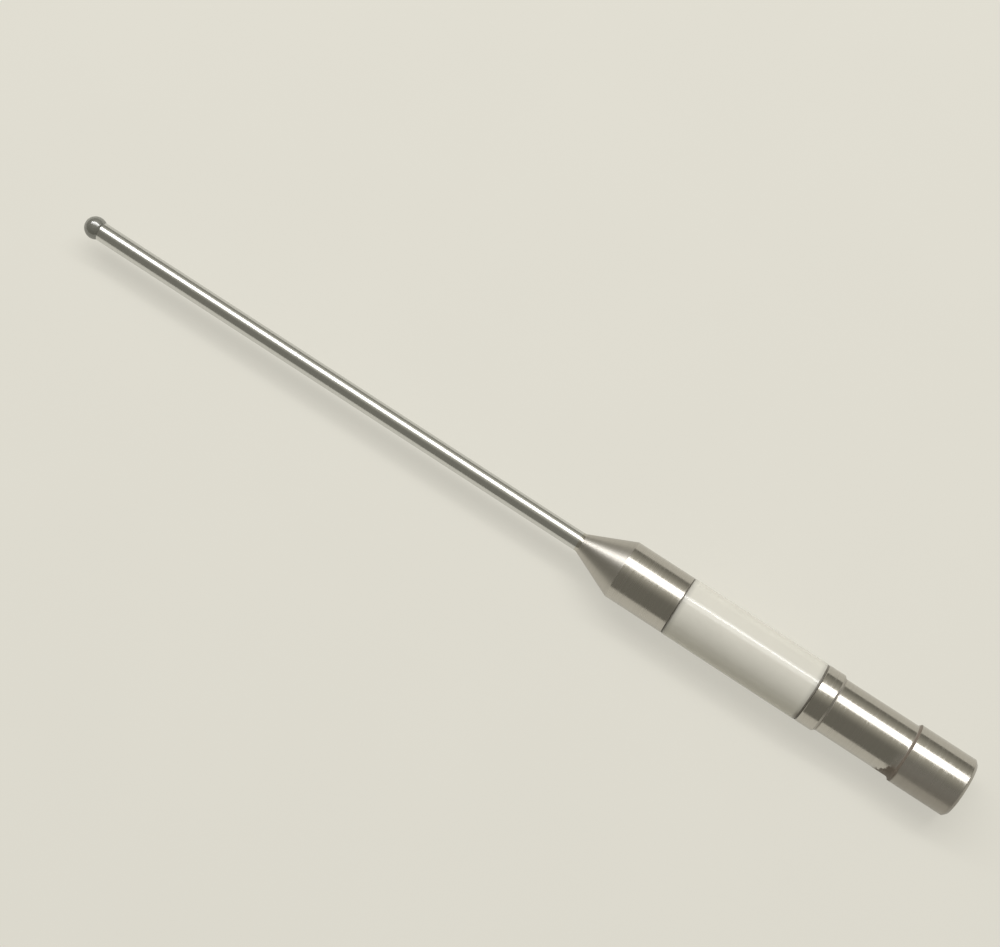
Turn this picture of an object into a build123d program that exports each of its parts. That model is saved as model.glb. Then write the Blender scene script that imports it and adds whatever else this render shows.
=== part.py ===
from build123d import *
import os

# Ball stylus lying along X, in millimetres. The origin is the centre of the shank's end face and
# +X runs towards the ball, so every station below is a distance from that end face.

# Ball and stem
ball_diameter = 3.0
stem_relief = 0.25
stem_reach = 74.9
stem_seat_depth = 12.0
stem_end_chamfer = 0.2
seat_rim = 0.04

# Stem holder: cone, collar and rear spigot
cone_length = 5.9
cone_mouth_lip = 0.06
collar_length = 8.2
collar_relief = 0.03
collar_edge_chamfer = 0.08
holder_spigot_length = 6.0

# Ceramic sleeve
sleeve_length = 19.15
sleeve_wall = 1.4
sleeve_edge_chamfer = 0.05

# Shank: rear land, flared ramp, waist, front land and front spigot
shank_diameter = 8.0
rear_land_length = 8.0
end_chamfer = 0.4
ramp_length = 0.5
waist_relief = 0.325
waist_length = 10.15
front_land_length = 2.6
shoulder_chamfer = 0.28
front_edge_chamfer = 0.12
shank_spigot_length = 6.0
spigot_end_chamfer = 0.3

# Joints: film thicknesses of braze and glue, and how far the glue lines lie below the surface
ball_glue_film = 0.04
stem_braze_film = 0.04
bead_length = 0.47
glue_film = 0.08
front_glue_line = 0.1
rear_glue_line = 0.2
glue_recess = 0.06
bore_end_clearance = 0.3

# Radii
ball_radius = ball_diameter / 2
stem_radius = ball_radius - stem_relief
seat_radius = ball_radius + ball_glue_film
stem_bore_radius = stem_radius + stem_braze_film
mouth_radius = stem_bore_radius + cone_mouth_lip
shank_radius = shank_diameter / 2
waist_radius = shank_radius - waist_relief
collar_radius = shank_radius - collar_relief
sleeve_bore_radius = shank_radius - sleeve_wall
spigot_radius = sleeve_bore_radius - glue_film
glue_line_radius = shank_radius - glue_recess

# Stations along X
ramp_end = rear_land_length + ramp_length
waist_end = ramp_end + waist_length
shank_face = waist_end + front_land_length
sleeve_rear = shank_face + rear_glue_line
sleeve_front = sleeve_rear + sleeve_length
collar_rear = sleeve_front + front_glue_line
collar_front = collar_rear + collar_length
cone_mouth = collar_front + cone_length
stem_rear = cone_mouth - stem_seat_depth
ball_centre = cone_mouth + stem_reach
shank_spigot_end = shank_face + shank_spigot_length
holder_spigot_end = collar_rear - holder_spigot_length
stem_rim = ball_centre - (seat_radius**2 - (stem_radius - seat_rim) ** 2) ** 0.5

os.makedirs("parts", exist_ok=True)


# Shank, turned from one bar: the ramp is a concave arc that leaves the waist tangentially.
with BuildPart() as shank:
    with BuildSketch(Plane.XZ):
        with BuildLine():
            rear_outline = Polyline((ramp_end, 0), (0, 0), (0, shank_radius), (rear_land_length, shank_radius))
            waist_line = Line((waist_end, waist_radius), (ramp_end, waist_radius))
            TangentArc(waist_line @ 1, rear_outline @ 1, tangent=waist_line % 1)
            Polyline(
                waist_line @ 0,
                (waist_end, shank_radius),
                (shank_face, shank_radius),
                (shank_face, spigot_radius),
                (shank_spigot_end, spigot_radius),
                (shank_spigot_end, 0),
                rear_outline @ 0,
            )
        make_face()
    revolve(axis=Axis.X)
    rings = shank.edges().filter_by(GeomType.CIRCLE)
    land_rings = rings.filter_by(lambda ring: abs(ring.radius - shank_radius) < waist_relief / 2)
    land_rings = land_rings.sort_by(Axis.X)
    chamfer(land_rings[0], end_chamfer)
    chamfer(land_rings[2], shoulder_chamfer)
    chamfer(land_rings[3], front_edge_chamfer)
    chamfer(shank.faces().sort_by(Axis.X)[-1].edges(), spigot_end_chamfer)
shank.part.label = "shank"
export_step(shank.part, "parts/shank.step")


# Ceramic sleeve, an insulating tube: the two spigots end apart from each other in its bore.
with BuildPart() as ceramic_sleeve:
    with BuildSketch(Plane.YZ.offset(sleeve_rear)):
        Circle(shank_radius)
        Circle(sleeve_bore_radius, mode=Mode.SUBTRACT)
    extrude(amount=sleeve_length)
    end_faces = ceramic_sleeve.faces().filter_by(GeomType.PLANE)
    chamfer(end_faces.edges(), sleeve_edge_chamfer)
ceramic_sleeve.part.label = "ceramic_sleeve"
export_step(ceramic_sleeve.part, "parts/ceramic_sleeve.step")


# Stem holder, turned in one piece with a blind bore for the stem.
with BuildPart() as stem_holder:
    with BuildSketch(Plane.XZ):
        with BuildLine():
            Polyline(
                (holder_spigot_end, 0),
                (holder_spigot_end, spigot_radius),
                (collar_rear, spigot_radius),
                (collar_rear, collar_radius),
                (collar_front, collar_radius),
                (cone_mouth, mouth_radius),
                (cone_mouth, 0),
                close=True,
            )
        make_face()
    revolve(axis=Axis.X)
    rings = stem_holder.edges().filter_by(GeomType.CIRCLE)
    collar_rings = rings.filter_by(lambda ring: abs(ring.radius - collar_radius) < collar_relief)
    chamfer(collar_rings.sort_by(Axis.X)[0], collar_edge_chamfer)
    chamfer(stem_holder.faces().sort_by(Axis.X)[0].edges(), spigot_end_chamfer)
    with BuildSketch(Plane.YZ.offset(stem_rear - bore_end_clearance)):
        Circle(stem_bore_radius)
    extrude(amount=stem_seat_depth + bore_end_clearance, mode=Mode.SUBTRACT)
stem_holder.part.label = "stem_holder"
export_step(stem_holder.part, "parts/stem_holder.step")


# Stem, a ground rod with a spherical cup in its front end.
with BuildPart() as stem:
    with BuildSketch(Plane.YZ.offset(stem_rear)):
        Circle(stem_radius)
    extrude(amount=stem_rim - stem_rear)
    chamfer(stem.faces().sort_by(Axis.X)[0].edges(), stem_end_chamfer)
    with Locations((ball_centre, 0, 0)):
        Sphere(seat_radius, mode=Mode.SUBTRACT)
stem.part.label = "stem"
export_step(stem.part, "parts/stem.step")


# Ball
with BuildPart() as ball:
    with Locations((ball_centre, 0, 0)):
        Sphere(ball_radius)
ball.part.label = "ball"
export_step(ball.part, "parts/ball.step")


# Glue film between the ball and its cup
with BuildPart() as ball_glue:
    with Locations((ball_centre, 0, 0)):
        Sphere(seat_radius)
        Sphere(ball_radius, mode=Mode.SUBTRACT)
    split(bisect_by=Plane.YZ.offset(stem_rim), keep=Keep.BOTTOM)
ball_glue.part.label = "ball_glue"
export_step(ball_glue.part, "parts/ball_glue.step")


# Braze round the stem: a film in the holder's bore and a small concave bead at its mouth
with BuildPart() as stem_braze:
    with BuildSketch(Plane.XZ):
        with BuildLine():
            film = Polyline(
                (cone_mouth + bead_length, stem_radius),
                (stem_rear + stem_end_chamfer, stem_radius),
                (stem_rear + stem_end_chamfer, stem_bore_radius),
                (cone_mouth, stem_bore_radius),
                (cone_mouth, mouth_radius),
            )
            TangentArc(film @ 0, film @ 1, tangent=(-1, 0))
        make_face()
    revolve(axis=Axis.X)
stem_braze.part.label = "stem_braze"
export_step(stem_braze.part, "parts/stem_braze.step")


# Glue of each spigot in the sleeve's bore: a film round the spigot and a line between the end faces
def glue_joint(metal_face, sleeve_end, spigot_end):
    inward = 1 if spigot_end > metal_face else -1
    with BuildPart() as joint:
        with BuildSketch(Plane.XZ):
            with BuildLine():
                Polyline(
                    (metal_face, spigot_radius),
                    (metal_face, glue_line_radius),
                    (sleeve_end, glue_line_radius),
                    (sleeve_end, sleeve_bore_radius + sleeve_edge_chamfer),
                    (sleeve_end + inward * sleeve_edge_chamfer, sleeve_bore_radius),
                    (spigot_end - inward * spigot_end_chamfer, sleeve_bore_radius),
                    (spigot_end - inward * spigot_end_chamfer, spigot_radius),
                    close=True,
                )
            make_face()
        revolve(axis=Axis.X)
    return joint


rear_glue = glue_joint(shank_face, sleeve_rear, shank_spigot_end)
rear_glue.part.label = "rear_glue"
export_step(rear_glue.part, "parts/rear_glue.step")

front_glue = glue_joint(collar_rear, sleeve_front, holder_spigot_end)
front_glue.part.label = "front_glue"
export_step(front_glue.part, "parts/front_glue.step")
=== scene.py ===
import math
from functools import cached_property

import bmesh
import bpy
from bpy.props import FloatProperty, FloatVectorProperty, IntProperty, PointerProperty
from bpy.types import Operator, Panel, PropertyGroup
from mathutils import Euler, Matrix, Vector


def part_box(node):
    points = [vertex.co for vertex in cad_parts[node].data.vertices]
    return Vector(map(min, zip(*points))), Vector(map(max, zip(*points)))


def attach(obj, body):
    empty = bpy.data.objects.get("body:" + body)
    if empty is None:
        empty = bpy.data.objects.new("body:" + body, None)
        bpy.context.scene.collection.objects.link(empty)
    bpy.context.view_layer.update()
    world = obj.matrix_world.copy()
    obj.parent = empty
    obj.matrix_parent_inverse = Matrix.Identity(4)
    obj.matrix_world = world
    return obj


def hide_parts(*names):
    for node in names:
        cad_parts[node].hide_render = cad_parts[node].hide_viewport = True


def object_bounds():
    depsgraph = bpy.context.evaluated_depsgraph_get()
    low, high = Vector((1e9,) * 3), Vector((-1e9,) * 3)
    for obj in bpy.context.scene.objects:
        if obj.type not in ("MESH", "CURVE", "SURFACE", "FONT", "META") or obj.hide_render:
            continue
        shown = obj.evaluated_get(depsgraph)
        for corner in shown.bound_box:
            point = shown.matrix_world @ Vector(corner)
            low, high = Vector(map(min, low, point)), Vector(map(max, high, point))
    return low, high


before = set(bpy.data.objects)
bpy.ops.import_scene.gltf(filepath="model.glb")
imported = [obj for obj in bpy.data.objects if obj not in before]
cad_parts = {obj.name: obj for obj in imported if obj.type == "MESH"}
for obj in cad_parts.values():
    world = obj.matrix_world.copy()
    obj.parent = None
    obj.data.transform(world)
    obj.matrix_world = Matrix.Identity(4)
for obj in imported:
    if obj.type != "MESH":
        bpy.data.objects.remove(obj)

bl_info = {
    "name": "Ball stylus",
    "version": (1, 0, 0),
    "blender": (4, 5, 0),
    "location": "View3D > Sidebar > Stylus",
    "description": "Ball stylus with a ceramic sleeve, lying on a pale floor",
    "category": "Object",
}

MM = 0.001

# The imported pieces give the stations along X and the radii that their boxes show.
CAD_LOW, CAD_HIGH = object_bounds()
LOW = {node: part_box(node)[0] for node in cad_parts}
HIGH = {node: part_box(node)[1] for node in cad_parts}

# An outline's point that is nearer to the axis than this lies on it.
ON_AXIS = 1e-9
# Faces that meet at a smaller angle than this shade as one smooth surface.
SMOOTH_ANGLE = math.radians(35)
# At an edge, one finish gives way to the next over this distance to each side.
SOFT_EDGE = 0.02 * MM


def size(name, default, description):
    return FloatProperty(
        name=name, description=description, default=default, unit="LENGTH", precision=5
    )


def tone(name, default, description):
    return FloatVectorProperty(
        name=name, description=description, default=default, subtype="COLOR", size=3, min=0, max=1
    )


def gloss(name, default, description):
    return FloatVectorProperty(
        name=name, description=description, default=default, size=2, min=0, max=1
    )


def share(name, default, description):
    return FloatProperty(
        name=name, description=description, default=default, subtype="FACTOR", min=0, max=1
    )


def amount(name, default, description):
    return FloatProperty(name=name, description=description, default=default, min=0)


def aim(name, degrees, description):
    return FloatProperty(
        name=name, description=description, default=math.radians(degrees), subtype="ANGLE"
    )


class StylusSizes(PropertyGroup):
    """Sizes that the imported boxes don't show."""

    rear_land: size("Rear land", 8.0 * MM, "Length of the rear land")
    ramp: size("Ramp", 0.5 * MM, "Length of the flared ramp between waist and rear land")
    waist_length: size("Waist length", 10.15 * MM, "Straight length of the waist")
    waist_relief: size("Waist relief", 0.325 * MM, "How far the waist lies below the lands")
    end_chamfer: size("End chamfer", 0.4 * MM, "Chamfer at the shank's end face")
    shoulder_chamfer: size("Shoulder chamfer", 0.28 * MM, "Chamfer between waist and front land")
    front_chamfer: size("Front chamfer", 0.12 * MM, "Chamfer between front land and ceramic")
    collar_length: size("Collar length", 8.2 * MM, "Length of the holder's cylindrical collar")
    collar_chamfer: size("Collar chamfer", 0.08 * MM, "Chamfer between collar and ceramic")
    sleeve_chamfer: size("Sleeve chamfer", 0.05 * MM, "Chamfer at the ceramic sleeve's ends")
    sleeve_wall: size("Sleeve wall", 1.4 * MM, "Wall of the ceramic sleeve")
    glue_film: size("Glue film", 0.08 * MM, "Glue between the spigots and the sleeve's bore")
    braze_film: size("Braze film", 0.04 * MM, "Braze between the stem and the holder's bore")
    spigot_chamfer: size("Spigot chamfer", 0.3 * MM, "Chamfer at the hidden ends of both spigots")
    stem_chamfer: size("Stem chamfer", 0.2 * MM, "Chamfer at the stem's hidden end")
    bore_clearance: size("Bore clearance", 0.3 * MM, "Free depth of the bore behind the stem")
    edge_break: size("Edge break", 0.03 * MM, "Radius that deburring leaves on the steel edges")
    around: IntProperty(
        name="Around", description="Faces around a turned piece", default=256, min=32
    )


class StylusFinish(PropertyGroup):
    """Colours, roughness and refraction of the finishes."""

    stem_tone: tone("Stem", (0.67, 0.67, 0.65), "Reflection colour of the ground rod")
    turned_tone: tone("Turned", (0.53, 0.507, 0.468), "Reflection colour of holder and shank")
    ceramic_tone: tone("Ceramic", (0.72, 0.703, 0.643), "Colour of the alumina")
    ball_tone: tone("Ball", (0.16, 0.16, 0.14), "Colour of the dark ball")
    glue_tone: tone("Glue", (0.13, 0.12, 0.103), "Colour of the cured glue")
    braze_tone: tone("Braze", (0.55, 0.53, 0.48), "Reflection colour of the braze")
    # The residue colour also paints the shade at the ramp's corner and the shoulder's foot.
    residue_and_shade_tone: tone("Residue", (0.19, 0.15, 0.115), "Colour of the brown residue")
    stem_gloss: gloss("Stem roughness", (0.19, 0.26), "Least and most roughness of the rod")
    turned_gloss: gloss("Turned roughness", (0.15, 0.28), "Least and most roughness of the shank")
    holder_gloss: gloss("Holder roughness", (0.2, 0.3), "Least and most roughness of the collar")
    cone_roughness: share("Cone roughness", 0.43, "Roughness of the holder's cone")
    shoulder_roughness: share("Shoulder roughness", 0.5, "Roughness of the shoulder's chamfer")
    # Also the roughness where shade is painted at the ramp's corner and the shoulder's foot.
    residue_and_shade_roughness: share("Residue roughness", 0.6, "Roughness of dirt and residue")
    ceramic_roughness: share("Ceramic roughness", 0.12, "Roughness of the ceramic's glossy skin")
    ball_roughness: share("Ball roughness", 0.18, "Roughness of the polished ball")
    glue_roughness: share("Glue roughness", 0.45, "Roughness of the cured glue")
    ceramic_index: amount("Ceramic index", 1.55, "Refractive index of the ceramic's skin")
    ball_index: amount("Ball index", 1.8, "Refractive index of the ball")


class StylusStudio(PropertyGroup):
    """Floor, light and camera."""

    floor_tone: tone("Floor", (0.76, 0.74, 0.665), "Colour of the floor")
    room_tone: tone("Room", (0.22, 0.212, 0.18), "Colour of the room above the floor")
    floor_width: size("Floor width", 12.0, "Width of the square floor")
    backlight: share(
        "Backlight", 0.66, "Share of the floor that shines evenly and softens the shadow"
    )
    window_width: size("Window width", 1.0, "Width of the soft window light")
    window_height: size("Window height", 0.3, "Height of the soft window light")
    tube_height: size("Tube height", 0.05, "Height of the bright tube in the window")
    light_distance: size("Light distance", 0.6, "Distance from the stylus to the window light")
    light_shift: size("Light shift", 0.2, "How far the window light lies towards the ball")
    light_azimuth: aim("Light azimuth", 188, "Which way the window lies, 0 along +Y")
    window_elevation: aim("Window elevation", 65.2, "Height of the window above the horizon")
    tube_elevation: aim("Tube elevation", 60.6, "Height of the tube above the horizon")
    glow_elevation: aim("Glow elevation", 60, "Height of the room's brightest part")
    window_radiance: amount("Window", 1.9, "Radiance of the window")
    tube_radiance: amount("Tube", 6.5, "Radiance of the tube")
    glow: amount("Glow", 2.2, "How much brighter the room is round the window")
    camera_place: FloatVectorProperty(
        name="Camera place", description="Where the camera stands",
        default=(0.039424, 0.041802, 0.240509), subtype="TRANSLATION", unit="LENGTH",
        size=3, precision=5,
    )
    camera_elevation: aim("Camera elevation", 77.7405, "How steeply the camera looks down")
    camera_azimuth: aim("Camera azimuth", -146.476, "Which way the camera faces, 0 along +Y")
    lens: amount("Lens", 70.56, "Focal length in millimetres on a 36 mm wide sensor")


def sizes():
    return bpy.context.scene.stylus_sizes


def finish():
    return bpy.context.scene.stylus_finish


def studio():
    return bpy.context.scene.stylus_studio


def spigot_radius():
    """Both spigots fill the sleeve's bore up to a film of glue."""
    return HIGH["ceramic_sleeve"].y - sizes().sleeve_wall - sizes().glue_film


def ball_centre():
    """The station of the ball's centre."""
    return HIGH["ball"].x - HIGH["ball"].y


# An outline is a list of (station along X, radius) points. A corner with a third number has that
# edge radius, which eased() turns into an arc.


def eased(corners, steps=4):
    """The outline with each corner that has an edge radius turned into a small arc."""
    outline = []
    for index, (x, height, *edge) in enumerate(corners):
        here = Vector((x, height))
        if not edge:
            outline.append(tuple(here))
            continue
        radius = edge[0]
        to_last = (Vector(corners[index - 1][:2]) - here).normalized()
        to_next = (Vector(corners[(index + 1) % len(corners)][:2]) - here).normalized()
        half = to_last.angle(to_next) / 2
        middle = (to_last + to_next).normalized()
        centre = here + middle * radius / math.sin(half)
        sweep = math.copysign(math.pi - 2 * half, to_last.cross(to_next))
        for step in range(steps + 1):
            spoke = Matrix.Rotation(sweep * (0.5 - step / steps), 2) @ -middle
            outline.append(tuple(centre + spoke * radius))
    return outline


def flare(foot, foot_radius, reach, rise, steps=16):
    """A concave arc from its steep end down to its foot, which it meets smoothly.

    The steep end lies at the reach from the foot along X, and at the rise above it.
    """
    bend_radius = (reach**2 + rise**2) / (2 * rise)
    steepest = math.asin(reach / bend_radius)
    bends = [steepest * (1 - step / steps) for step in range(steps + 1)]
    return [
        (foot + bend_radius * math.sin(bend), foot_radius + bend_radius * (1 - math.cos(bend)))
        for bend in bends
    ]


def sphere_arc(centre, radius, start, end, steps):
    """Points on a sphere's outline, from one angle off the X axis to another."""
    turns = [start + (end - start) * step / steps for step in range(steps + 1)]
    return [(centre + radius * math.cos(turn), radius * math.sin(turn)) for turn in turns]


def placed(name, data):
    """A new object in the scene."""
    made = bpy.data.objects.new(name, data)
    bpy.context.scene.collection.objects.link(made)
    return made


def turned(name, outline, closed=False):
    """A mesh turned about the X axis from an outline.

    An outline that isn't closed starts and ends on the axis.
    """
    around = sizes().around
    angles = [2 * math.pi * k / around for k in range(around)]
    bm = bmesh.new()
    rings = []
    for x, radius in outline:
        if radius < ON_AXIS:
            rings.append([bm.verts.new((x, 0, 0))] * around)
        else:
            rings.append(
                [bm.verts.new((x, radius * math.cos(a), radius * math.sin(a))) for a in angles]
            )
    follows = rings[1:] + rings[:1] if closed else rings[1:]
    for ring, following in zip(rings, follows):
        for k in range(around):
            beside = (k + 1) % around
            corners = [ring[k], ring[beside], following[beside], following[k]]
            # On the axis, two of the corners are the same vertex and the face is a triangle.
            bm.faces.new(list(dict.fromkeys(corners)))
    bmesh.ops.recalc_face_normals(bm, faces=bm.faces)
    mesh = bpy.data.meshes.new(name)
    bm.to_mesh(mesh)
    bm.free()
    mesh.shade_smooth()
    mesh.set_sharp_from_angle(angle=SMOOTH_ANGLE)
    return placed(name, mesh)


def settle(piece, material, slot, *nodes):
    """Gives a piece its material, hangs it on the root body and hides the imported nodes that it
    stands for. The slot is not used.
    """
    piece.data.materials.append(material)
    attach(piece, "root")
    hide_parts(*nodes)


def rgba(colour):
    return colour if isinstance(colour, bpy.types.NodeSocket) else (*colour, 1)


def shade_of(colour, brightness):
    """The same colour, darker for a brightness below 1 and lighter for one above it."""
    return tuple(channel * brightness for channel in colour)


class Nodes:
    """Adds nodes to a tree and feeds them with values or with other nodes' sockets."""

    def __init__(self, tree):
        self.tree = tree

    def feed(self, node, inputs):
        """Gives each input a value, or a link where the value is another node's socket."""
        for key, value in inputs.items():
            if isinstance(value, bpy.types.NodeSocket):
                self.tree.links.new(value, node.inputs[key])
            else:
                node.inputs[key].default_value = value

    def add(self, kind, inputs=None, **settings):
        made = self.tree.nodes.new(kind)
        for name, value in settings.items():
            setattr(made, name, value)
        self.feed(made, inputs or {})
        return made

    def math(self, operation, *values):
        return self.add("ShaderNodeMath", dict(enumerate(values)), operation=operation).outputs[0]

    def ramp(self, value, low, high, to_low=0.0, to_high=1.0, smooth=True):
        """To_low up to low, to_high from high on, and a slope between them."""
        limits = {"From Min": low, "From Max": high, "To Min": to_low, "To Max": to_high}
        return self.add(
            "ShaderNodeMapRange", {"Value": value, **limits},
            interpolation_type="SMOOTHSTEP" if smooth else "LINEAR",
        ).outputs["Result"]


class Finish(Nodes):
    """A procedural material in the making, whose marks lie in the object's own coordinates.

    A share is a socket that runs from 0 to 1 and says how much of a stain, a painted shade or a
    finish is there.
    """

    def __init__(self, name):
        self.material = bpy.data.materials.new(name)
        self.material.use_nodes = True
        super().__init__(self.material.node_tree)
        self.shader = self.tree.nodes["Principled BSDF"]
        self.place = self.add("ShaderNodeTexCoord").outputs["Object"]

    def set(self, **values):
        """Gives sockets of the shader, named with _ for each space, a value or a link."""
        self.feed(self.shader, {name.replace("_", " "): value for name, value in values.items()})

    @cached_property
    def axes(self):
        return self.add("ShaderNodeSeparateXYZ", {0: self.place}).outputs

    @cached_property
    def along(self):
        """The station along the X axis."""
        return self.axes["X"]

    @cached_property
    def angle(self):
        """The angle round the X axis in radians: 0 on top and positive towards +Y."""
        return self.math("ARCTAN2", self.axes["Y"], self.axes["Z"])

    def noise(self, grain, around=None, detail=2.0, roughness=0.5):
        """Noise of that grain, or of a grain along the X axis and another one around it."""
        scale = (1 / grain, 1 / (around or grain), 1 / (around or grain))
        place = self.add("ShaderNodeVectorMath", {0: self.place, 1: scale}, operation="MULTIPLY")
        look = {"Scale": 1.0, "Detail": detail, "Roughness": roughness}
        return self.add("ShaderNodeTexNoise", {"Vector": place.outputs[0], **look}).outputs["Fac"]

    def spread(self, noise, least=0.0, most=1.0):
        """Noise keeps near its middle, and this spreads it from the least to the most."""
        usual_low, usual_high = 0.3, 0.7
        return self.ramp(noise, usual_low, usual_high, least, most)

    def rising(self, value, start, end, most=1.0):
        """A share that rises from 0 at the start to the most at the end."""
        return self.ramp(value, start, end, 0.0, most)

    def fading(self, value, start, end, most=1.0):
        """A share that fades from the most at the start to 0 at the end."""
        return self.ramp(value, start, end, most, 0.0)

    def past(self, station):
        """A share that is 1 ahead of a station along X."""
        return self.rising(self.along, station - SOFT_EDGE, station + SOFT_EDGE)

    def short_of(self, station):
        """A share that is 1 behind a station along X."""
        return self.fading(self.along, station - SOFT_EDGE, station + SOFT_EDGE)

    def where_all(self, first, *others):
        """The product of shares."""
        for other in others:
            first = self.math("MULTIPLY", first, other)
        return first

    def where_any(self, first, *others):
        """The largest of shares."""
        for other in others:
            first = self.math("MAXIMUM", first, other)
        return first

    def between(self, share_of_second, first, second):
        """A number on the way from the first to the second."""
        return self.ramp(share_of_second, 0.0, 1.0, first, second, smooth=False)

    def blend(self, share_of_second, first, second):
        """A colour on the way from the first to the second."""
        inputs = {"Factor": share_of_second, "A": rgba(first), "B": rgba(second)}
        return self.add("ShaderNodeMix", inputs, data_type="RGBA").outputs["Result"]

    def bump(self, height, distance):
        inputs = {"Height": height, "Distance": distance}
        return self.add("ShaderNodeBump", inputs).outputs["Normal"]


def metal_with_marks(name, colour, roughness, pitch=0.12 * MM, depth=0.001 * MM, drawn_out=0.6):
    """Metal with fine marks round the axis: they vary its gloss, its tone and its relief.

    The marks are those of turning unless others are given, and drawn_out says how far they draw
    reflections out along the axis. Returns the finish and the sockets of its colour and
    roughness, for stains and painted shade to go over.
    """
    mark_length = 40 * pitch
    broad_pitch, broad_length = 3 * pitch, 160 * pitch
    fine_relief, quarter_turn = 0.5, 0.25
    metal = Finish(name)
    fine = metal.noise(pitch, around=mark_length, detail=3)
    broad = metal.noise(broad_pitch, around=broad_length, detail=2)
    marks = metal.rising(fine, start=0.35, end=0.75, most=0.25)
    marked = metal.blend(marks, colour, shade_of(colour, brightness=0.8))
    relief = metal.math("ADD", metal.math("MULTIPLY", fine, fine_relief), broad)
    metal.set(
        Metallic=1.0,
        Anisotropic=drawn_out,
        Anisotropic_Rotation=quarter_turn,
        Tangent=metal.add("ShaderNodeTangent", direction_type="RADIAL", axis="X").outputs[0],
        Normal=metal.bump(relief, depth),
    )
    return metal, marked, metal.spread(broad, *roughness)


def ground_steel():
    """The stem's steel, with the shallower marks of grinding."""
    given = finish()
    steel, colour, rough = metal_with_marks(
        "ground_steel", given.stem_tone, given.stem_gloss,
        pitch=0.15 * MM, depth=0.0006 * MM, drawn_out=0.5,
    )
    steel.set(Base_Color=colour, Roughness=rough)
    return steel.material


def silver_braze():
    """The braze, with wider marks than turned steel has."""
    given = finish()
    braze, colour, rough = metal_with_marks(
        "silver_braze", given.braze_tone, given.holder_gloss, pitch=0.2 * MM, drawn_out=0.5
    )
    braze.set(Base_Color=colour, Roughness=rough)
    return braze.material


def turned_steel():
    """The holder's steel, which is duller on the cone, in front of the collar."""
    given = finish()
    steel, colour, rough = metal_with_marks("turned_steel", given.turned_tone, given.holder_gloss)
    cone = steel.past(HIGH["front_glue"].x + sizes().collar_length)
    steel.set(Base_Color=colour, Roughness=steel.between(cone, rough, given.cone_roughness))
    return steel.material


# The shank's stains and painted shade: ahead is the distance from the rear land's edge towards the
# ball.


def residue_wedge(steel, ahead):
    """Brown residue that starts at the ramp and reaches further over the waist towards +Y."""
    least_reach, most_reach = 0.7 * MM, 2.2 * MM
    ragged, fade, over_land = 0.7 * MM, 0.4 * MM, 0.5 * MM
    clumps = steel.noise(0.5 * MM, detail=4, roughness=0.6)
    reach = steel.ramp(
        steel.angle, low=0.7, high=1.7, to_low=least_reach, to_high=most_reach, smooth=False
    )
    reach = steel.math("ADD", reach, steel.spread(clumps, most=ragged))
    return steel.where_all(
        steel.fading(steel.math("SUBTRACT", ahead, reach), start=-fade, end=0.0),
        steel.rising(steel.angle, start=0.5, end=0.95, most=0.95),
        steel.rising(ahead, start=-over_land, end=-SOFT_EDGE),
    )


def residue_haze(steel, ahead):
    """A faint haze of the residue on the waist, towards +Y."""
    return steel.where_all(
        steel.fading(ahead, start=0.3 * MM, end=1.6 * MM, most=0.35),
        steel.rising(steel.angle, start=0.0, end=0.7),
    )


def ramp_painted_shade(steel, ahead):
    """Painted shade: a dark band in the corner at the ramp's steep end, all round the shank."""
    return steel.where_all(
        steel.fading(ahead, start=0.2 * MM, end=0.36 * MM, most=0.9),
        steel.rising(ahead, start=-0.1 * MM, end=-0.05 * MM),
    )


def shoulder_painted_shade(steel, shoulder):
    """Painted shade on the waist at the foot of the front land's shoulder, all round."""
    before = steel.math("SUBTRACT", shoulder, steel.along)
    return steel.where_all(
        steel.fading(before, start=0.06 * MM, end=0.22 * MM, most=0.45),
        steel.fading(steel.along, start=shoulder, end=shoulder + 0.05 * MM),
    )


def stained_and_shaded_steel():
    """The shank's steel: residue and painted shade at its steps, painted shade on the end chamfer,
    a dull shoulder.
    """
    given, shape = finish(), sizes()
    shoulder = shape.rear_land + shape.ramp + shape.waist_length
    steel, colour, rough = metal_with_marks("stained_and_shaded_steel", given.turned_tone, given.turned_gloss)
    ahead = steel.math("SUBTRACT", steel.along, shape.rear_land)
    # Residue and its haze are real stains; the marks at the ramp's corner and the shoulder's foot
    # are painted shade.
    residue_and_shade = steel.where_any(
        residue_wedge(steel, ahead),
        residue_haze(steel, ahead),
        ramp_painted_shade(steel, ahead),
        shoulder_painted_shade(steel, shoulder),
    )
    grain = steel.noise(0.12 * MM, detail=3)
    residue_and_shade = steel.where_all(residue_and_shade, steel.ramp(grain, low=0.2, high=0.45, to_low=0.7))
    # This residue colour also paints the shade at the ramp's corner and the shoulder's foot.
    residue = steel.blend(
        grain, given.residue_and_shade_tone, shade_of(given.residue_and_shade_tone, brightness=0.7)
    )

    # Painted shade: the end chamfer is darkened towards a fifth of the turned tone.
    end_chamfer_shade_end = shape.end_chamfer + 0.05 * MM
    end_chamfer_shade = steel.fading(steel.along, start=shape.end_chamfer, end=end_chamfer_shade_end, most=0.2)
    colour = steel.blend(end_chamfer_shade, colour, shade_of(given.turned_tone, brightness=0.2))
    dull = steel.where_all(
        steel.past(shoulder), steel.short_of(shoulder + shape.shoulder_chamfer)
    )
    rough = steel.between(dull, rough, given.shoulder_roughness)

    steel.set(
        Base_Color=steel.blend(residue_and_shade, colour, residue),
        Metallic=steel.between(residue_and_shade, 1.0, 0.0),
        Roughness=steel.between(residue_and_shade, rough, given.residue_and_shade_roughness),
    )
    return steel.material


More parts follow.
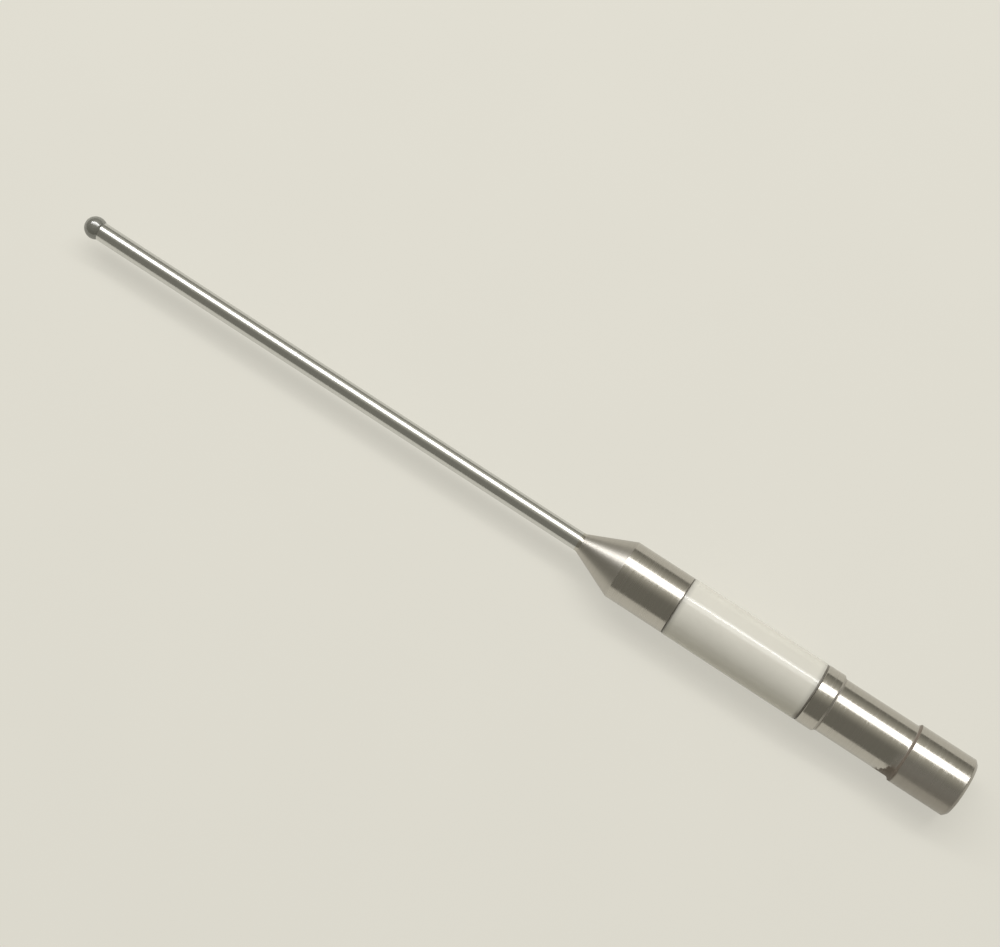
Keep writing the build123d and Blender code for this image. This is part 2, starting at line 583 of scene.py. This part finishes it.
def alumina():
    """White ceramic with painted shade at both ends and at the front joint, and a smear at the
    rear.
    """
    given = finish()
    rear, front = LOW["ceramic_sleeve"].x, HIGH["ceramic_sleeve"].x
    ceramic = Finish("alumina")
    along, angle = ceramic.along, ceramic.angle
    clouds = ceramic.noise(2.5 * MM, detail=3)
    grain = ceramic.noise(0.06 * MM, detail=2)

    cloudy = ceramic.spread(clouds, most=0.35)
    # Painted shade towards both ends, next to the joints.
    shaded = ceramic.where_any(
        ceramic.fading(along, start=rear, end=rear + 0.7 * MM, most=0.7),
        ceramic.rising(along, start=front - 0.8 * MM, end=front, most=0.7),
    )
    # Painted shade at the front joint, stronger on the +Y side, away from the light.
    front_joint_shade = ceramic.where_all(
        ceramic.rising(along, start=front - 0.2 * MM, end=front - 0.05 * MM, most=0.8),
        ceramic.ramp(angle, low=-0.3, high=0.8, to_low=0.3),
    )
    smeared = ceramic.where_all(
        ceramic.rising(angle, start=0.8, end=1.2),
        ceramic.fading(along, start=rear, end=rear + 0.5 * MM, most=0.8),
        ceramic.ramp(clouds, low=0.35, high=0.6, to_low=0.4),
    )

    colour = given.ceramic_tone
    for stain, brightness in ((cloudy, 0.94), (shaded, 0.65), (front_joint_shade, 0.3)):
        colour = ceramic.blend(stain, colour, shade_of(given.ceramic_tone, brightness))
    ceramic.set(
        Base_Color=ceramic.blend(smeared, colour, given.residue_and_shade_tone),
        Roughness=given.ceramic_roughness,
        IOR=given.ceramic_index,
        Normal=ceramic.bump(grain, distance=0.0004 * MM),
    )
    return ceramic.material


def dark_nitride():
    """The ball's dark polished ceramic, with soft clouds and a strong reflection."""
    given = finish()
    nitride = Finish("dark_nitride")
    clouds = nitride.spread(nitride.noise(0.5 * MM, detail=3), most=0.4)
    nitride.set(
        Base_Color=nitride.blend(
            clouds, given.ball_tone, shade_of(given.ball_tone, brightness=0.8)
        ),
        Roughness=given.ball_roughness,
        IOR=given.ball_index,
        Specular_IOR_Level=1.0,
    )
    return nitride.material


def cured_glue():
    """Dark glue that is lighter and uneven in patches, which run round the joint."""
    given = finish()
    glue = Finish("cured_glue")
    patches = glue.noise(0.2 * MM, around=0.6 * MM, detail=3)
    glue.set(
        Base_Color=glue.blend(
            glue.spread(patches), given.glue_tone, shade_of(given.glue_tone, brightness=1.6)
        ),
        Roughness=given.glue_roughness,
        Normal=glue.bump(patches, distance=0.01 * MM),
    )
    return glue.material


def floor_paint():
    """A matt floor that also shines evenly towards the camera and into reflections."""
    given = studio()
    paint = Finish("floor_paint")
    clouds = paint.spread(paint.noise(20 * MM, detail=2), most=0.3)
    colour = paint.blend(clouds, given.floor_tone, shade_of(given.floor_tone, brightness=0.98))
    paint.set(Base_Color=colour, Roughness=0.9, Specular_IOR_Level=0.1)
    shine = paint.add("ShaderNodeEmission", {"Color": colour}).outputs[0]
    rays = paint.add("ShaderNodeLightPath").outputs
    seen = paint.math("ADD", rays["Is Camera Ray"], rays["Is Glossy Ray"])
    seen = paint.math("ADD", seen, rays["Is Transmission Ray"])
    shining = paint.math("MULTIPLY", seen, given.backlight)
    mixed = paint.add("ShaderNodeMixShader", {0: shining, 1: paint.shader.outputs[0], 2: shine})
    paint.feed(paint.tree.nodes["Material Output"], {"Surface": mixed.outputs[0]})
    return paint.material


class STYLUS_OT_ball(Operator):
    """Makes the polished ball"""

    bl_idname = "stylus.ball"
    bl_label = "Ball"

    def execute(self, context):
        outline = sphere_arc(ball_centre(), HIGH["ball"].y, math.pi, 0, steps=96)
        settle(turned("measuring_ball", outline), dark_nitride(), "ball", "ball")
        return {"FINISHED"}


class STYLUS_OT_stem(Operator):
    """Makes the ground rod with the cup that the ball sits in"""

    bl_idname = "stylus.stem"
    bl_label = "Stem"

    def execute(self, context):
        radius = HIGH["stem"].y
        rear, rim = LOW["stem"].x, HIGH["stem"].x
        cut = sizes().stem_chamfer
        ease = sizes().edge_break
        seat_radius = ball_centre() - LOW["ball_glue"].x
        mouth = math.pi - math.acos((ball_centre() - rim) / seat_radius)
        cup = sphere_arc(ball_centre(), seat_radius, mouth, math.pi, steps=24)
        body = eased(
            [
                (rear, 0),
                (rear, radius - cut, ease),
                (rear + cut, radius, ease),
                (rim, radius, ease / 2),
                cup[0],
            ]
        )
        settle(turned("stem_rod", body + cup[1:]), ground_steel(), "stem", "stem")
        return {"FINISHED"}


class STYLUS_OT_stem_holder(Operator):
    """Makes the turned cone and collar with its spigot and blind bore"""

    bl_idname = "stylus.stem_holder"
    bl_label = "Stem holder"

    def execute(self, context):
        given = sizes()
        collar_rear = HIGH["front_glue"].x
        collar_front = collar_rear + given.collar_length
        collar_radius = HIGH["stem_holder"].y
        cut = given.collar_chamfer
        spigot_end, mouth = LOW["stem_holder"].x, HIGH["stem_holder"].x
        spigot, spigot_cut = spigot_radius(), given.spigot_chamfer
        bore = HIGH["stem"].y + given.braze_film
        bore_end = LOW["stem"].x - given.bore_clearance
        ease = given.edge_break
        fine_edge, cone_edge = ease / 2, ease * 2
        body = eased(
            [
                (spigot_end, 0),
                (spigot_end, spigot - spigot_cut, ease),
                (spigot_end + spigot_cut, spigot, ease),
                (collar_rear, spigot),
                (collar_rear, collar_radius - cut, fine_edge),
                (collar_rear + cut, collar_radius, fine_edge),
                (collar_front, collar_radius, cone_edge),
                (mouth, HIGH["stem_braze"].y),
                (mouth, bore),
                (bore_end, bore),
                (bore_end, 0),
            ]
        )
        settle(turned("cone_and_collar", body), turned_steel(), "holder", "stem_holder")
        return {"FINISHED"}


class STYLUS_OT_sleeve(Operator):
    """Makes the white ceramic tube"""

    bl_idname = "stylus.sleeve"
    bl_label = "Ceramic sleeve"

    def execute(self, context):
        rear, front = LOW["ceramic_sleeve"].x, HIGH["ceramic_sleeve"].x
        radius = HIGH["ceramic_sleeve"].y
        bore = radius - sizes().sleeve_wall
        cut = sizes().sleeve_chamfer
        ease = cut / 3
        ring = eased(
            [
                (rear, bore + cut),
                (rear, radius - cut, ease),
                (rear + cut, radius, ease),
                (front - cut, radius, ease),
                (front, radius - cut, ease),
                (front, bore + cut),
                (front - cut, bore),
                (rear + cut, bore),
            ]
        )
        sleeve = turned("insulating_sleeve", ring, closed=True)
        settle(sleeve, alumina(), "sleeve", "ceramic_sleeve")
        return {"FINISHED"}


class STYLUS_OT_shank(Operator):
    """Makes the turned shank with its lands, ramp and waist"""

    bl_idname = "stylus.shank"
    bl_label = "Shank"

    def execute(self, context):
        given = sizes()
        radius = HIGH["shank"].y
        waist_radius = radius - given.waist_relief
        ramp_end = given.rear_land + given.ramp
        waist_end = ramp_end + given.waist_length
        face = LOW["rear_glue"].x
        spigot_end = HIGH["shank"].x
        spigot, spigot_cut = spigot_radius(), given.spigot_chamfer
        ease = given.edge_break
        end_edge, ramp_edge, foot_edge = ease * 2, ease * 0.6, ease / 3
        ramp = flare(ramp_end, waist_radius, -given.ramp, given.waist_relief)
        body = eased(
            [
                (0, 0),
                (0, radius - given.end_chamfer, end_edge),
                (given.end_chamfer, radius, end_edge),
                (given.rear_land, radius, ramp_edge),
                *ramp[1:],
                (waist_end, waist_radius),
                (waist_end, radius - given.shoulder_chamfer, foot_edge),
                (waist_end + given.shoulder_chamfer, radius, ease),
                (face - given.front_chamfer, radius, ease),
                (face, radius - given.front_chamfer, ease),
                (face, spigot),
                (spigot_end - spigot_cut, spigot, ease),
                (spigot_end, spigot - spigot_cut, ease),
                (spigot_end, 0),
            ]
        )
        settle(turned("turned_shank", body), stained_and_shaded_steel(), "shank", "shank")
        return {"FINISHED"}


class STYLUS_OT_joints(Operator):
    """Gives the three glue pieces their finish and makes the braze with its bead"""

    bl_idname = "stylus.joints"
    bl_label = "Glue and braze"

    def execute(self, context):
        glue = cured_glue()
        for node in ("front_glue", "rear_glue", "ball_glue"):
            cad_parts[node].data.materials.clear()
            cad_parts[node].data.materials.append(glue)
        mouth = HIGH["stem_holder"].x
        stem_radius = HIGH["stem"].y
        bore = stem_radius + sizes().braze_film
        rear, front = LOW["stem_braze"].x, HIGH["stem_braze"].x
        bead = flare(front, stem_radius, mouth - front, HIGH["stem_braze"].y - stem_radius)
        ring = [(rear, stem_radius), (rear, bore), (mouth, bore), *bead]
        braze = turned("braze_bead", ring, closed=True)
        settle(braze, silver_braze(), "braze", "stem_braze")
        return {"FINISHED"}


def toward(azimuth, elevation):
    """The level direction that a camera of that azimuth faces, raised by the elevation."""
    level = math.cos(elevation)
    return Vector((-math.sin(azimuth) * level, math.cos(azimuth) * level, math.sin(elevation)))


def lay_floor():
    """A square floor under the stylus."""
    half, level = studio().floor_width / 2, CAD_LOW.z
    corners = [(-half, -half), (half, -half), (half, half), (-half, half)]
    mesh = bpy.data.meshes.new("floor")
    mesh.from_pydata([(x, y, level) for x, y in corners], [], [(0, 1, 2, 3)])
    floor = placed("floor", mesh)
    mesh.materials.append(floor_paint())


def hang_light(name, height, radiance, elevation, distance):
    """A flat light as wide as the window, aimed past the stylus's middle towards the ball."""
    given = studio()
    width = given.window_width
    centre = (CAD_LOW + CAD_HIGH) / 2 + Vector((given.light_shift, 0, 0))
    direction = toward(given.light_azimuth, elevation)
    light = bpy.data.lights.new(name, "AREA")
    light.shape = "RECTANGLE"
    light.size = width
    light.size_y = height
    # A flat light's power is four times its radiance times its area.
    light.energy = 4 * radiance * width * height
    lamp = placed(name, light)
    lamp.location = centre + direction * distance
    lamp.rotation_mode = "QUATERNION"
    lamp.rotation_quaternion = (-direction).to_track_quat("-Z", "Y")


def hang_lights():
    """The window, and the tube a little in front of it so that they don't overlap."""
    given = studio()
    in_front = 0.96 * given.light_distance
    hang_light(
        "window", given.window_height, given.window_radiance, given.window_elevation,
        given.light_distance,
    )
    hang_light(
        "tube", given.tube_height, given.tube_radiance, given.tube_elevation, in_front
    )


def colour_room():
    """A room of one colour that is brightest round the window."""
    given = studio()
    room = bpy.data.worlds.new("room")
    room.use_nodes = True
    nodes = Nodes(room.node_tree)
    brightest = toward(given.light_azimuth, given.glow_elevation)
    look = nodes.add("ShaderNodeTexCoord").outputs["Generated"]
    facing = nodes.add("ShaderNodeVectorMath", {0: look, 1: brightest}, operation="DOT_PRODUCT")
    glow_edge = math.cos(math.radians(60))
    near = nodes.ramp(facing.outputs["Value"], low=glow_edge, high=1.0, smooth=False)
    strength = nodes.math("MULTIPLY_ADD", nodes.math("POWER", near, 2), given.glow, 1)
    nodes.feed(
        room.node_tree.nodes["Background"], {"Color": rgba(given.room_tone), "Strength": strength}
    )
    bpy.context.scene.world = room


def stand_camera():
    """The camera, which looks down on the stylus from close by."""
    given = studio()
    eye = bpy.data.cameras.new("camera")
    eye.lens = given.lens
    eye.clip_start = 10 * MM
    camera = placed("camera", eye)
    camera.location = given.camera_place
    tilt = math.pi / 2 - given.camera_elevation
    camera.rotation_euler = Euler((tilt, 0, given.camera_azimuth))
    bpy.context.scene.camera = camera


class STYLUS_OT_stage(Operator):
    """Makes the floor, the light, the room and the camera"""

    bl_idname = "stylus.stage"
    bl_label = "Stage"

    def execute(self, context):
        lay_floor()
        hang_lights()
        colour_room()
        stand_camera()
        context.scene.view_settings.view_transform = "Standard"
        return {"FINISHED"}


OPERATORS = (
    STYLUS_OT_ball,
    STYLUS_OT_stem,
    STYLUS_OT_stem_holder,
    STYLUS_OT_sleeve,
    STYLUS_OT_shank,
    STYLUS_OT_joints,
    STYLUS_OT_stage,
)


class STYLUS_PT_panel(Panel):
    """Lists the pieces, the stage and their settings"""

    bl_idname = "STYLUS_PT_panel"
    bl_label = "Ball stylus"
    bl_space_type = "VIEW_3D"
    bl_region_type = "UI"
    bl_category = "Stylus"

    def draw(self, context):
        for operator in OPERATORS:
            self.layout.operator(operator.bl_idname)
        for group in (sizes(), finish(), studio()):
            box = self.layout.box()
            for name in group.bl_rna.properties.keys():
                if name not in ("rna_type", "name"):
                    box.prop(group, name)


CLASSES = (StylusSizes, StylusFinish, StylusStudio, *OPERATORS, STYLUS_PT_panel)


def register():
    for cls in CLASSES:
        bpy.utils.register_class(cls)
    bpy.types.Scene.stylus_sizes = PointerProperty(type=StylusSizes)
    bpy.types.Scene.stylus_finish = PointerProperty(type=StylusFinish)
    bpy.types.Scene.stylus_studio = PointerProperty(type=StylusStudio)


def unregister():
    del bpy.types.Scene.stylus_studio
    del bpy.types.Scene.stylus_finish
    del bpy.types.Scene.stylus_sizes
    for cls in reversed(CLASSES):
        bpy.utils.unregister_class(cls)


def main():
    register()
    bpy.ops.stylus.ball()
    bpy.ops.stylus.stem()
    bpy.ops.stylus.stem_holder()
    bpy.ops.stylus.sleeve()
    bpy.ops.stylus.shank()
    bpy.ops.stylus.joints()
    bpy.ops.stylus.stage()


if __name__ == "__main__":
    main()
